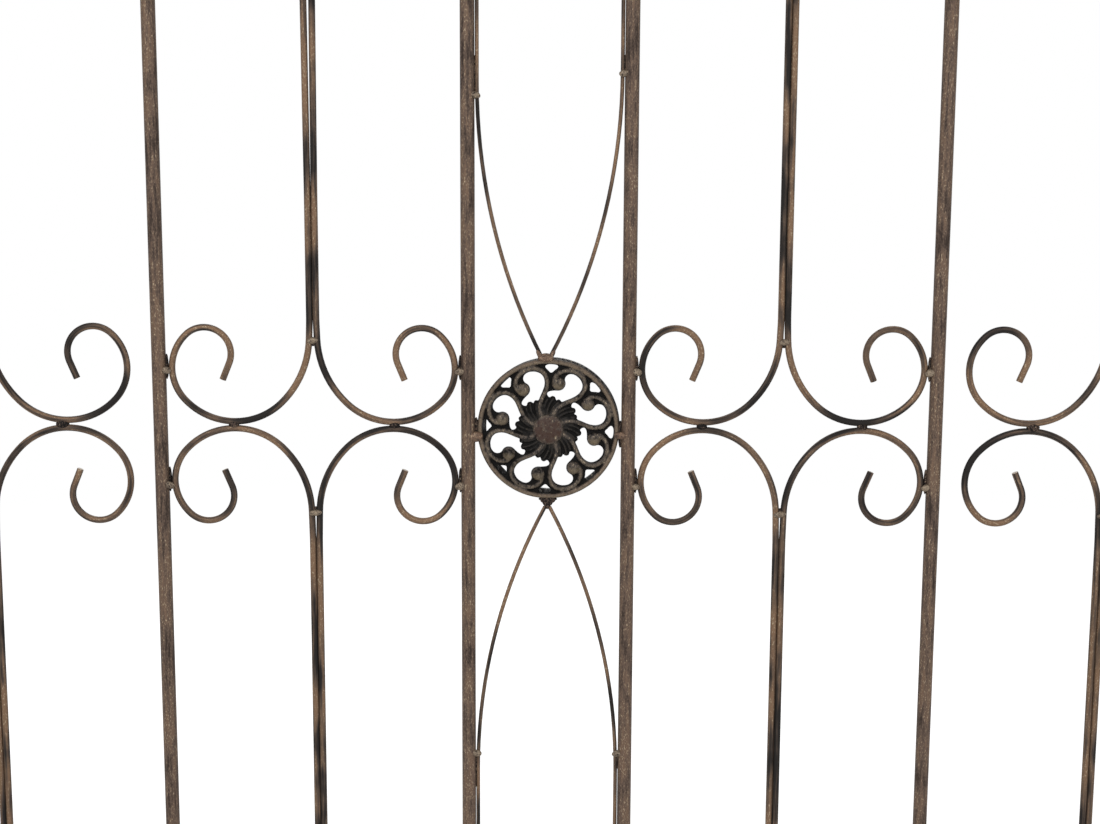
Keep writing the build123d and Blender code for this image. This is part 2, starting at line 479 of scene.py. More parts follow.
@dataclass(frozen=True)
class Finish:
    """Sooty brown paint with umber and copper bronze rubbed over it by a dry brush, and painted shade
    on the flanks.
    """

    name: str
    streak_width: float = 1.1 * MM
    streak_length: float = 16 * MM
    start: float = 0.36
    streakiness: float = 0.7
    patchiness: float = 0.4
    grit: float = 0.3
    # Painted shade: how much darker the flanks that face sideways are
    flank_shade: float = 0.45
    flank_turn: Point = (0.05, 0.7)
    relief: float = 0.06 * MM
    follows_grain: bool = True
    soot: Colour = (0.010, 0.0088, 0.0085, 1.0)
    umber: Colour = (0.064, 0.040, 0.029, 1.0)
    copper: Colour = (0.158, 0.098, 0.064, 1.0)
    gold: Colour = (0.36, 0.29, 0.20, 1.0)
    roughness: Point = (0.34, 0.62)
    metal: Point = (0.1, 0.7)
    gloss: Point = (0.05, 0.25)

    def rubbed_where(self, graph: Graph) -> Socket:
        """How much of the brushed colours a spot keeps: less on the flanks than on the front and back,
        which is painted shade.
        """
        open_side = graph.math("ABSOLUTE", graph.normal("Y"))
        shaded = graph.product(graph.ramp(open_side, *self.flank_turn), self.flank_shade)
        return graph.math("ADD", shaded, 1 - self.flank_shade)

    def tint(self, graph: Graph, colour: Socket) -> Socket:
        """Changes the brushed colour in places of its own."""
        return colour

    def material(self) -> bpy.types.Material:
        """The finish as a material, which is made once.

        Returns:
            The material.
        """
        known = bpy.data.materials.get(self.name)
        if known is not None:
            return known
        material = bpy.data.materials.new(self.name)
        material.use_nodes = True
        graph = Graph(material.node_tree)
        if self.follows_grain:
            grain = graph.node("ShaderNodeAttribute", attribute_name=GRAIN).outputs["Vector"]
        else:
            grain = graph.place()
        strokes = {
            "Vector": grain, "Width": self.streak_width, "Length": self.streak_length,
            "Start": self.start, "Streakiness": self.streakiness, "Patchiness": self.patchiness,
            "Grit": self.grit,
        }
        marks = graph.node("ShaderNodeGroup", strokes, node_tree=DryBrush().group()).outputs
        # The brushed colours, lessened on the flanks by painted shade
        rub_and_shade = self.rubbed_where(graph)
        under = graph.product(marks["Under"], rub_and_shade)
        over = graph.product(marks["Over"], rub_and_shade)
        fleck = graph.product(marks["Fleck"], over)
        colour = graph.mix(under, self.soot, self.umber)
        colour = graph.mix(over, colour, self.copper)
        colour = graph.mix(fleck, colour, self.gold)
        height = {"Height": marks["Relief"], "Distance": self.relief, "Strength": 1.0}
        surface = {
            "Base Color": self.tint(graph, colour),
            "Roughness": graph.spread(marks["Relief"], self.roughness),
            "Metallic": graph.spread(over, self.metal),
            "Specular IOR Level": graph.spread(under, self.gloss),
            "Normal": graph.node("ShaderNodeBump", height).outputs["Normal"],
        }
        shader = graph.node("ShaderNodeBsdfPrincipled", surface)
        graph.node("ShaderNodeOutputMaterial", {"Surface": shader.outputs["BSDF"]})
        return material


@dataclass(frozen=True)
class CastFinish(Finish):
    """The casting's finish: dark in its low parts, partly sooty paint and partly painted shade, pewter
    bronze on its ribs that gets lighter towards their crests as painted highlight, a reddish hub.
    """

    follows_grain: bool = False
    centre: Place = (0.64643, 0.0, 0.587)
    # Depths in front of the panel's middle plane
    low_front: float = 0.9 * MM
    petal_front: float = 2.1 * MM
    high_front: float = 3.0 * MM
    ball_front: Point = (2.7 * MM, 3.7 * MM)
    flower_back: float = -1.0 * MM
    behind: Point = (-1.2 * MM, -2.2 * MM)
    back_share: float = 0.55
    # Distances from the casting's axis
    hub_edge: Point = (10.88 * MM, 13.6 * MM)
    clear_of_hub: Point = (27.2 * MM, 29.92 * MM)
    flower_edge: Point = (27.9 * MM, 31.0 * MM)
    rim_edge: Point = (59.0 * MM, 60.2 * MM)
    # A ball is gilded where it faces down
    ball_underside: Point = (-0.35, 0.45)
    patch_scale: float = 260.0
    patch_roughness: float = 0.6
    hub_patches: Point = (0.22, 0.60)
    rim_patches: Point = (0.25, 0.60)
    # How strong the painted shade between the petals is
    petal_soot: float = 0.8
    hub_share: float = 0.95
    rim_share: float = 0.8
    hub_red: Colour = (0.044, 0.024, 0.018, 1.0)
    rim_bronze: Colour = (0.136, 0.098, 0.070, 1.0)
    ball_gold: Colour = (0.165, 0.128, 0.080, 1.0)

    def front_depth(self, graph: Graph) -> Socket:
        """How far a spot lies in front of the panel's middle plane."""
        return graph.product(graph.part(graph.place(), "Y"), -1.0)

    def rubbed_where(self, graph: Graph) -> Socket:
        """The raised parts of the casting's front take the brushed colours, and its back a little; the
        depth also paints shade into the recesses and highlight onto the crests.
        """
        # Brushed bronze on the ribs by depth, with painted shade in the recesses and painted highlight
        # at the crests
        front = self.front_depth(graph)
        raised = graph.ramp(front, self.low_front, self.high_front)
        behind = graph.product(graph.ramp(front, *self.behind), self.back_share)
        return graph.product(super().rubbed_where(graph), graph.math("ADD", raised, behind))

    def tint(self, graph: Graph, colour: Socket) -> Socket:
        """Paints shade into the low parts between the petals, reddens the hub, and gives rim and balls
        some bronze and gold.

        Args:
            graph: The material's graph.
            colour: The brushed colour.

        Returns:
            The changed colour.
        """
        place = graph.place()
        radius = graph.distance(graph.scaled(place, (1.0, 0.0, 1.0)), self.centre)
        patches = graph.noise(place, self.patch_scale, self.patch_roughness)
        front = self.front_depth(graph)
        # Painted shade: the flower's low parts, below the petals' crests, turn to the soot colour
        shade_between_petals = graph.product(
            graph.fall(front, self.petal_front, self.high_front),
            graph.fall(radius, *self.flower_edge),
            graph.ramp(front, self.flower_back, 0.0),
            self.petal_soot,
        )
        on_hub = graph.product(
            graph.fall(radius, *self.hub_edge),
            graph.ramp(front, 0.0, self.low_front),
            graph.ramp(patches, *self.hub_patches),
            self.hub_share,
        )
        on_rim = graph.product(
            graph.ramp(radius, *self.rim_edge),
            graph.ramp(front, 0.0, self.high_front),
            graph.ramp(patches, *self.rim_patches),
            self.rim_share,
        )
        on_ball = graph.product(
            graph.ramp(front, *self.ball_front),
            graph.ramp(radius, *self.clear_of_hub),
            graph.fall(graph.normal("Z"), *self.ball_underside),
            patches,
        )
        colour = graph.mix(shade_between_petals, colour, self.soot)
        colour = graph.mix(on_hub, colour, self.hub_red)
        colour = graph.mix(on_rim, colour, self.rim_bronze)
        return graph.mix(on_ball, colour, self.ball_gold)


@dataclass(frozen=True)
class StudioFloor:
    """A white floor that keeps the object's shadow and fades into the white surround."""

    name: str = "studio floor"
    white: Colour = (0.86, 0.86, 0.86, 1.0)
    glow: float = 0.25
    far_glow: Point = (0.6, 1.0)
    middle: Place = (0.646, 0.0, 0.0)
    fade: Point = (1.2, 2.6)

    def material(self) -> bpy.types.Material:
        """The floor's material.

        Returns:
            The material.
        """
        material = bpy.data.materials.new(self.name)
        material.use_nodes = True
        graph = Graph(material.node_tree)
        path = graph.node("ShaderNodeLightPath").outputs
        seen = graph.math("MAXIMUM", path["Is Camera Ray"], path["Is Glossy Ray"])
        paint = {"Base Color": self.white, "Roughness": 0.9, "Specular IOR Level": 0.0}
        shader = graph.node("ShaderNodeBsdfPrincipled", paint)
        level = graph.product(seen, self.glow)
        glow = graph.node("ShaderNodeEmission", {"Color": WHITE, "Strength": level})
        near = graph.node("ShaderNodeAddShader", {0: shader.outputs[0], 1: glow.outputs[0]})
        level = graph.spread(seen, self.far_glow)
        far = graph.node("ShaderNodeEmission", {"Color": WHITE, "Strength": level})
        fade = graph.ramp(graph.distance(graph.place(), self.middle), *self.fade)
        both = graph.node("ShaderNodeMixShader", {0: fade, 1: near.outputs[0], 2: far.outputs[0]})
        graph.node("ShaderNodeOutputMaterial", {"Surface": both.outputs[0]})
        return material


STEEL_BAR = Finish(
    "brushed steel bar", streak_width=2.6 * MM, streak_length=22 * MM, start=0.34,
    streakiness=0.55, grit=0.4, flank_shade=0.6, soot=(0.036, 0.026, 0.021, 1.0),
    umber=(0.080, 0.053, 0.039, 1.0), copper=(0.139, 0.090, 0.062, 1.0),
)
STEEL_FRAME = replace(
    STEEL_BAR, name="brushed steel frame", streak_width=2.8 * MM, streak_length=26 * MM,
    streakiness=0.5, flank_shade=0.0,
)
STEEL_WIRE = Finish(
    "brushed steel wire", streak_width=3.0 * MM, streak_length=48 * MM, patchiness=0.85,
    streakiness=0.6, grit=0.08, flank_shade=0.6, soot=(0.019, 0.017, 0.016, 1.0),
    umber=(0.062, 0.042, 0.030, 1.0), copper=(0.165, 0.102, 0.063, 1.0),
)
CUT_END = Finish(
    "cut wire end", streak_width=0.6 * MM, streak_length=0.8 * MM, start=0.26, flank_shade=0.0,
    copper=(0.24, 0.20, 0.16, 1.0),
)
CAST_METAL = CastFinish(
    "brushed casting", streak_width=3.0 * MM, streak_length=4.0 * MM, start=0.34,
    flank_shade=0.3, relief=0.10 * MM, soot=(0.0065, 0.006, 0.0058, 1.0),
    umber=(0.042, 0.034, 0.029, 1.0), copper=(0.088, 0.070, 0.056, 1.0),
)
HOOP_METAL = Finish(
    "dark hoop paint", streak_width=2.4 * MM, streak_length=6.0 * MM, start=0.40,
    follows_grain=False, flank_shade=0.2, umber=(0.034, 0.033, 0.033, 1.0),
    copper=(0.080, 0.082, 0.080, 1.0),
)
WELD_METAL = Finish(
    "brushed weld bead", streak_width=1.4 * MM, streak_length=1.6 * MM, start=0.30,
    follows_grain=False, flank_shade=0.2, relief=0.16 * MM, umber=(0.085, 0.062, 0.046, 1.0),
    copper=(0.21, 0.165, 0.12, 1.0),
)
# Dark weld lumps in the narrow gaps between wires, bars and the rosette, which also stand in for the
# shade there: painted shade
GAP_SHADE_WELD = Finish(
    "sooty weld", streak_width=1.4 * MM, streak_length=1.6 * MM, start=0.46,
    follows_grain=False, flank_shade=0.2, relief=0.12 * MM, copper=(0.11, 0.078, 0.056, 1.0),
)
SEAM_WELD = Finish(
    "brushed weld seam", streak_width=2.4 * MM, streak_length=2.8 * MM, start=0.32,
    streakiness=0.5, follows_grain=False, flank_shade=0.2, relief=0.10 * MM,
    soot=(0.019, 0.016, 0.014, 1.0), copper=(0.150, 0.094, 0.064, 1.0),
)


# Bars and bent wires


@dataclass
class Bars:
    """The four round bars."""

    diameter: float = 12.7 * MM
    sides: int = 40
    random: Random = seeded(11)

    def build(self) -> None:
        """Models one bar and sets a copy on each bar node."""
        low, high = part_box("inner_left_bar")
        Bench.clear()
        bpy.ops.mesh.primitive_cylinder_add(
            vertices=self.sides,
            radius=self.diameter / 2,
            depth=high.z - low.z,
            location=(0, 0, (high.z + low.z) / 2),
        )
        pattern = dress(Bench.settle("bar_pattern"), STEEL_BAR)
        Bench.smooth(pattern, 60)
        Bench.mark_grain(pattern, lambda spot: spot)
        for bay in BAYS:
            spot = Matrix.Translation((node_centre(bay.bar).x, 0, 0))
            bar = Bench.vary(pattern, spot, self.random)
            bar.name = f"{bay.place}_{bay.side.word}_round_bar"
            present(bar, Slot.STEEL, bay.bar)
        bpy.data.objects.remove(pattern)


@dataclass(frozen=True)
class Leg:
    """One run of a wire: a straight length, or a bend of a radius through a turn in degrees."""

    length: float = 0.0
    radius: float = 0.0
    turn: float = 0.0

    @property
    def hand(self) -> int:
        """1 where it bends anticlockwise, or else -1."""
        return 1 if self.turn > 0 else -1

    @property
    def reach(self) -> float:
        """The length of wire in it."""
        return self.radius * abs(radians(self.turn)) if self.turn else self.length


@dataclass(frozen=True)
class Run:
    """A leg in its place: its first point, its heading, and the length of wire before it."""

    leg: Leg
    point: Vector
    heading: Vector
    done: float

    @property
    def left(self) -> Vector:
        """What lies to the left of its heading, as seen from the front."""
        return Vector((-self.heading.z, 0.0, self.heading.x))

    @property
    def centre(self) -> Vector:
        """The centre of its bend."""
        return self.point + self.left * (self.leg.radius * self.leg.hand)

    def end(self) -> tuple[Vector, Vector]:
        """The point and the heading at its far end."""
        if not self.leg.turn:
            return self.point + self.heading * self.leg.length, self.heading
        spun = about_front(self.leg.turn)
        return self.centre + spun @ (self.point - self.centre), spun @ self.heading


@dataclass
class BentWire:
    """A round wire bent in the panel's plane, leg after leg. A turn above 0 is anticlockwise."""

    start: Vector
    heading: Vector
    radius: float
    legs: tuple[Leg, ...]
    sides: int = 16
    step: float = 4.0
    end_bevel: float = 0.35 * MM
    near_end: float = 0.01 * MM

    def __post_init__(self) -> None:
        """Lays the legs one after the other."""
        self.route: list[Run] = []
        point, heading, done = self.start, self.heading, 0.0
        for leg in self.legs:
            run = Run(leg, point, heading, done)
            self.route.append(run)
            point, heading = run.end()
            done += leg.reach

    def unroll(self, spot: Vector) -> Vector:
        """Finds where a point of the bent wire lies on the straight one.

        Args:
            spot: A point on or in the wire.

        Returns:
            How far it is across, in depth and along.
        """
        best, nearest = Vector((0.0, spot.y, 0.0)), 1.0
        for run in self.route:
            leg = run.leg
            if leg.turn:
                arm, first = spot - run.centre, run.point - run.centre
                swing = atan2(first.x * arm.z - first.z * arm.x, first.x * arm.x + first.z * arm.z)
                across = (leg.radius - hypot(arm.x, arm.z)) * leg.hand
                along = leg.radius * (swing * leg.hand)
            else:
                across = (spot - run.point).dot(run.left)
                along = (spot - run.point).dot(run.heading)
            miss = max(0.0, -along, along - leg.reach) + max(0.0, abs(across) - self.radius)
            if miss < nearest:
                nearest = miss
                best = Vector((across, spot.y, run.done + along))
        return best

    def bend(self, name: str) -> Piece:
        """Models the wire: a ring, drawn out and spun round each bend, closed at both ends.

        Args:
            name: The object's name.

        Returns:
            The wire, with its far end face in the second material.
        """
        Bench.clear()
        bpy.ops.mesh.primitive_circle_add(
            vertices=self.sides, radius=self.radius, fill_type="NOTHING", location=self.start
        )
        wire = dress(Bench.settle(name), STEEL_WIRE, CUT_END)
        Bench.open_mesh(wire)
        for run in self.route:
            if run.leg.turn:
                bpy.ops.mesh.spin(
                    steps=ceil(abs(run.leg.turn) / self.step),
                    angle=radians(run.leg.turn) * SPIN_SIGN,
                    center=run.centre,
                    axis=FRONT_AXIS,
                )
            else:
                move = {"value": run.heading * run.leg.length}
                bpy.ops.mesh.extrude_region_move(TRANSFORM_OT_translate=move)
        tip, facing = self.route[-1].end()
        bpy.ops.mesh.select_all(action="SELECT")
        bpy.ops.mesh.fill_holes(sides=0)
        Bench.pick(
            wire,
            Element.EDGE,
            lambda edge: all(abs((v.co - tip).dot(facing)) < self.near_end for v in edge.verts)
            and (edge.verts[0].co - tip).length < 2 * self.radius,
        )
        bpy.ops.mesh.bevel(offset=self.end_bevel, segments=2, affect="EDGES")
        Bench.close_mesh()
        for face in wire.data.polygons:
            if (face.center - tip).length < self.radius and face.normal.dot(facing) > 0.9:
                face.material_index = 1
        Bench.smooth(wire)
        Bench.mark_grain(wire, self.unroll)
        return wire


@dataclass
class ScrollBays:
    """The bent wires of the four wide bays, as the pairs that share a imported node."""

    wire_radius: float = 3.0 * MM
    pair_offset: float = 3.5 * MM
    start_height: float = 490 * MM
    scroll_start: float = 81.28 * MM
    bend_radii: tuple[float, ...] = (84.8 * MM, 60.0 * MM, 42.0 * MM, 23.4 * MM)
    bend_turns: tuple[float, ...] = (45.8, 91.7, 89.8, 154.9)
    tail: float = 16 * MM
    # The two wires of a pair lie against each other until they splay to their scrolls
    closing: float = 0.53 * MM
    splay_turn: dict[Level, float] = by_level(2.0, 1.2)
    splay_radius: float = 0.15
    # One upper pair opens again towards the rail
    open_bay: str = "inner_left_bay"
    open_length: float = 284 * MM
    opening: float = 1.3 * MM
    random: Random = seeded(23)

    def pattern(self, level: Level, opens: bool) -> Piece:
        """Models a right wire for a bay whose middle is at the origin.

        Args:
            level: Which level it is for.
            opens: Whether it leaves its neighbour again towards the rail.

        Returns:
            The wire.
        """
        bends = [Leg(radius=r, turn=t) for r, t in zip(self.bend_radii, self.bend_turns)]
        turn = self.splay_turn[level]
        angle = radians(turn)
        first = self.bend_radii[0]
        sideways = self.closing + (first - self.splay_radius) * (1 - cos(angle))
        slope = sideways / sin(angle)
        splay = self.splay_radius * sin(angle) + slope * cos(angle)
        run = self.start_height - self.scroll_start + first * sin(angle) - splay
        bends[0] = Leg(radius=first, turn=self.bend_turns[0] - turn)
        legs = [Leg(length=run), Leg(radius=self.splay_radius, turn=turn), Leg(length=slope)]
        x = self.pair_offset - self.closing
        heading = Vector((0.0, 0.0, -1.0))
        if opens and level is Level.UPPER:
            lean = atan2(self.opening, self.open_length)
            x += self.opening
            heading = Vector((-sin(lean), 0.0, -cos(lean)))
            legs[0] = Leg(length=run - self.open_length)
            legs.insert(0, Leg(radius=self.splay_radius, turn=degrees(lean)))
            legs.insert(0, Leg(length=self.open_length))
        wire = BentWire(
            start=Vector((x, 0.0, self.start_height)),
            heading=heading,
            radius=self.wire_radius,
            legs=(*legs, *bends, Leg(length=self.tail)),
        )
        return wire.bend(f"{level.word}_scroll_pattern")

    def build(self) -> None:
        """Sets four wires in each bay, two to a piece."""
        patterns = {
            (level, opens): self.pattern(level, opens) for level in Level for opens in (False, True)
        }
        for bay in BAYS:
            spot = Matrix.Translation((bay.middle(), 0.0, row_height()))
            for turn in Side:
                wires = []
                for level in Level:
                    mirror = Matrix.Diagonal((turn.value, 1.0, level.value, 1.0))
                    pattern = patterns[level, bay.name == self.open_bay]
                    wires.append(Bench.vary(pattern, spot @ mirror, self.random))
                pair = Bench.join(wires, f"{bay.name}_{turn.word}_wires")
                present(pair, Slot.STEEL, f"{bay.name}_{turn.word}_scrolls")
        for pattern in patterns.values():
            bpy.data.objects.remove(pattern)


@dataclass
class Lancets:
    """The four thin wires of the middle bay."""

    wire_radius: float = 1.75 * MM
    x: float = 63.45 * MM
    start_height: float = 490 * MM
    bend_radius: float = 537 * MM
    foot_spread: dict[Level, float] = by_level(3.7 * MM, 1.9 * MM)
    foot_height: dict[Level, float] = by_level(62.0 * MM, 74.4 * MM)
    # The wires meet a little left of the rosette's axis
    foot_shift: dict[Level, float] = by_level(-2.4 * MM, -0.6 * MM)
    random: Random = seeded(37)

    def wire(self, side: Side, level: Level, name: str) -> Piece:
        """Models one wire as an upper right one, with the rosette's axis at the origin.

        Args:
            side: The side that it is for.
            level: The level that it is for.
            name: The object's name.

        Returns:
            The wire.
        """
        spread = self.foot_spread[level] + side.value * self.foot_shift[level]
        turn = acos(1 - (self.x - spread) / self.bend_radius)
        rise = self.bend_radius * sin(turn)
        straight = Leg(length=self.start_height - self.foot_height[level] - rise)
        wire = BentWire(
            start=Vector((self.x, 0.0, self.start_height)),
            heading=Vector((0.0, 0.0, -1.0)),
            radius=self.wire_radius,
            legs=(straight, Leg(radius=self.bend_radius, turn=-degrees(turn))),
            sides=12,
            step=1.5,
            end_bevel=0.2 * MM,
        )
        return wire.bend(name)

    def build(self) -> None:
        """Sets one wire on each lancet node."""
        spot = Matrix.Translation((node_centre("rosette").x, 0.0, row_height()))
        for level in Level:
            for side in Side:
                node = f"{level.word}_{side.word}_lancet"
                pattern = self.wire(side, level, f"{node}_pattern")
                mirror = Matrix.Diagonal((side.value, 1.0, level.value, 1.0))
                wire = Bench.vary(pattern, spot @ mirror, self.random)
                wire.name = f"{node}_wire"
                bpy.data.objects.remove(pattern)
                present(wire, Slot.STEEL, node)


# The rosette


class Drawing:
    """Smooth lines, drawn flat and then stood upright to face the front as one solid."""

    def __init__(self, name: str) -> None:
        """Starts an empty drawing."""
        self.curve = bpy.data.curves.new(name, "CURVE")

    def line(self, points: Iterable[Point], turn: float = 0.0, closed: bool = False) -> None:
        """Draws a smooth line through points.

        Args:
            points: Points in millimetres, to the right and up.
            turn: How far the line is turned anticlockwise about the middle, in degrees.
            closed: Whether it ends where it starts.
        """
        points = list(points)
        spin = Matrix.Rotation(radians(turn), 4, "Z")
        spline = self.curve.splines.new("BEZIER")
        spline.bezier_points.add(len(points) - 1)
        spline.use_cyclic_u = closed
        spline.resolution_u = 5
        for spot, (right, up) in zip(spline.bezier_points, points):
            spot.co = spin @ Vector((right * MM, up * MM, 0.0))
            spot.handle_left_type = "AUTO"
            spot.handle_right_type = "AUTO"

    def plate(self, front: float, back: float) -> Piece:
        """Fills the closed lines, with inner ones as windows, between two depths."""
        self.curve.dimensions = "2D"
        self.curve.fill_mode = "BOTH"
        self.curve.extrude = (front + back) / 2
        return self.upright((back - front) / 2, 1.0)

    def ribs(self, half_width: float, front: float, middle: float) -> Piece:
        """Gives each line a rounded section that comes forward to a depth."""
        self.curve.dimensions = "3D"
        self.curve.bevel_depth = half_width
        self.curve.bevel_resolution = 3
        self.curve.use_fill_caps = True
        return self.upright(-middle, (front - middle) / half_width)

    def upright(self, y: float, deepen: float) -> Piece:
        """Makes the drawing a mesh in the panel's plane.

        Args:
            y: Where its middle depth goes.
            deepen: How much its depth is stretched.

        Returns:
            The mesh object.
        """
        flat = bpy.data.objects.new(self.curve.name, self.curve)
        bpy.context.scene.collection.objects.link(flat)
        Bench.take(flat)
        bpy.ops.object.convert(target="MESH")
        flat = bpy.context.object
        flat.scale = (1.0, 1.0, deepen)
        flat.rotation_euler = (pi / 2, 0.0, 0.0)
        flat.location = (0.0, y, 0.0)
        solid = Bench.settle(flat.name)
        Bench.open_mesh(solid)
        bpy.ops.mesh.remove_doubles(threshold=0.01 * MM)
        Bench.close_mesh()
        return solid


@dataclass
class Rosette:
    """The casting of cut-out web, rim, croziers, petals and hub, and the hoop behind it."""

    rim_radius: float = 63.7 * MM
    rim_half_width: float = 2.4 * MM
    rim_half_depth: float = 3.6 * MM
    back: float = 2.4 * MM
    web_front: float = 0.5 * MM
    web_radius: float = 62.2
    web_points: int = 24
    sector_count: int = 8
    ball_angle: float = 77.7
    ball_distance: float = 42.2 * MM
    ball_radius: float = 6.3 * MM
    ball_flatness: float = 0.92
    ball_back: float = 0.2 * MM
    hub_radius: float = 13.5 * MM
    hub_edge: float = 4.3 * MM
    hub_dome: float = 2.4 * MM
    dome_share: float = 0.96
    voxel: float = 0.62 * MM
    hoop_radius: float = 62.5 * MM
    hoop_width: float = 5.0 * MM
    hoop_depth: float = 5.0 * MM
    hoop_edge: float = 0.9 * MM
    # Half width, front depth and middle depth of the ribs
    crozier_ribs: Place = (2.3 * MM, 3.5 * MM, 0.4 * MM)
    petal_ribs: Place = (1.4 * MM, 2.3 * MM, 0.2 * MM)
    # One sector in millimetres, with its ball on the X axis
    bean: tuple[Point, ...] = (
        (33.4, 6.4), (31.6, 7.9), (29.6, 7.2), (28.2, 4.9), (29.7, 3.4), (29.9, 1.2), (28.4, -0.6),
        (26.6, -1.3), (27.8, -2.6), (27.9, -4.6), (26.6, -6.2), (27.9, -9.0),
        (31.5, -14.2), (35.5, -18.6), (39.5, -21.0), (44.0, -21.6), (48.3, -19.6), (51.8, -15.2),
        (53.0, -10.5), (51.6, -6.6), (47.8, -4.8), (43.0, -6.4), (39.0, -5.6), (36.3, -2.6),
        (35.4, 1.0), (34.4, 4.4),
    )
    gap: tuple[Point, ...] = (
        (57.9, 9.6), (58.2, 5.8), (57.8, 3.9), (56.2, 3.6), (53.4, 5.7), (50.9, 7.5), (50.2, 8.5),
        (50.5, 9.6), (51.9, 11.6), (53.6, 14.2), (54.9, 14.9), (56.2, 14.0), (57.2, 12.4),
    )
    crozier: tuple[Point, ...] = (
        (12.0, -0.9), (18.5, -3.2), (22.5, -5.8), (26.0, -9.6), (30.0, -15.4), (34.0, -20.2),
        (39.5, -23.4), (45.0, -24.2), (50.0, -22.3), (54.0, -18.0), (55.9, -12.5), (56.0, -7.5),
        (54.3, -2.0), (51.0, 2.2), (46.6, 4.4), (42.6, 4.0),
    )
    petal: tuple[Point, ...] = ((12.0, 1.5), (17.5, 0.6), (22.0, -1.2), (25.9, -3.9))
    # Each sector has three petals, as turns in degrees with lengths
    petals: tuple[Point, ...] = ((0.0, 1.0), (11.0, 1.09), (22.0, 1.06))

    def round_lump(self, name: str, centre: Vector, half_sizes: Vector) -> Piece:
        """Adds an ellipsoid."""
        Bench.clear()
        bpy.ops.mesh.primitive_uv_sphere_add(segments=32, ring_count=16, radius=1.0, location=centre)
        bpy.context.object.scale = half_sizes
        return Bench.settle(name)

    def disc(self, name: str, radius: float, front: float, back: float) -> Piece:
        """Adds a round disc between two depths."""
        Bench.clear()
        bpy.ops.mesh.primitive_cylinder_add(
            vertices=72,
            radius=radius,
            depth=front + back,
            location=(0, (back - front) / 2, 0),
            rotation=(pi / 2, 0, 0),
        )
        return Bench.settle(name)

    def rim(self) -> Piece:
        """Adds the rounded rim."""
        Bench.clear()
        bpy.ops.mesh.primitive_torus_add(
            major_radius=self.rim_radius - self.rim_half_width,
            minor_radius=self.rim_half_width,
            major_segments=144,
            minor_segments=20,
            rotation=(pi / 2, 0, 0),
        )
        bpy.context.object.scale = (1.0, 1.0, self.rim_half_depth / self.rim_half_width)
        return Bench.settle("rim")

    def casting(self) -> Piece:
        """Models the casting with its middle at the origin, as one skin with soft inner corners.

        Returns:
            The casting.
        """
        web, croziers, petals = Drawing("web"), Drawing("croziers"), Drawing("petals")
        around = [radians(360 * k / self.web_points) for k in range(self.web_points)]
        outline = [(self.web_radius * cos(turn), self.web_radius * sin(turn)) for turn in around]
        web.line(outline, closed=True)
        parts = [self.rim()]
        for sector in range(self.sector_count):
            turn = self.ball_angle + sector * 360 / self.sector_count
            web.line(self.bean, turn, closed=True)
            web.line(self.gap, turn, closed=True)
            croziers.line(self.crozier, turn)
            for extra, longer in self.petals:
                petals.line([(x * longer, y * longer) for x, y in self.petal], turn + extra)
            spot = about_front(turn) @ Vector((self.ball_distance, self.ball_back, 0.0))
            deep = self.ball_radius * self.ball_flatness
            parts.append(
                self.round_lump("ball", spot, Vector((self.ball_radius, deep, self.ball_radius)))
            )
        parts.append(web.plate(self.web_front, self.back))
        parts.append(croziers.ribs(*self.crozier_ribs))
        parts.append(petals.ribs(*self.petal_ribs))
        parts.append(self.disc("hub", self.hub_radius, self.hub_edge, self.back))
        wide = self.hub_radius * self.dome_share
        dome = Vector((wide, self.hub_dome, wide))
        parts.append(self.round_lump("hub_dome", Vector((0.0, -self.hub_edge, 0.0)), dome))
        casting = Bench.join(parts, "rosette_casting")
        Bench.modify(casting, "REMESH", mode="VOXEL", voxel_size=self.voxel)
        Bench.modify(casting, "SMOOTH", factor=0.5, iterations=2)
        Bench.open_mesh(casting)
        Bench.pick(casting, Element.VERT, lambda point: point.co.y > self.back)
        bpy.ops.transform.resize(value=(1, 0, 1), center_override=(0, self.back, 0))
        Bench.close_mesh()
        return dress(casting, CAST_METAL)

    def hoop(self) -> Piece:
        """Models the flat hoop with its middle at the origin.

        Returns:
            The hoop.
        """
        middle = (0, self.back, 0)
        Bench.clear()
        bpy.ops.mesh.primitive_circle_add(
            vertices=128, radius=self.hoop_radius, fill_type="NOTHING", rotation=(pi / 2, 0, 0),
            location=middle,
        )
        hoop = Bench.settle("rosette_ring")
        Bench.open_mesh(hoop)
        bpy.ops.mesh.extrude_region_move()
        inner = (self.hoop_radius - self.hoop_width) / self.hoop_radius
        bpy.ops.transform.resize(value=(inner, inner, inner), center_override=middle)
        bpy.ops.mesh.select_all(action="SELECT")
        move = {"value": (0, self.hoop_depth, 0)}
        bpy.ops.mesh.extrude_region_move(TRANSFORM_OT_translate=move)
        Bench.close_mesh()
        Bench.modify(hoop, "BEVEL", width=self.hoop_edge, segments=3, limit_method="ANGLE")
        return dress(hoop, HOOP_METAL)

    def build(self) -> None:
        """Sets the casting and the hoop on their nodes."""
        for piece, node, slot in (
            (self.casting(), "rosette", Slot.CAST),
            (self.hoop(), "rosette_hoop", Slot.STEEL),
        ):
            centre = node_centre(node)
            piece.data.transform(Matrix.Translation((centre.x, 0.0, centre.z)))
            Bench.smooth(piece, 50)
            present(piece, slot, node)


# The frame


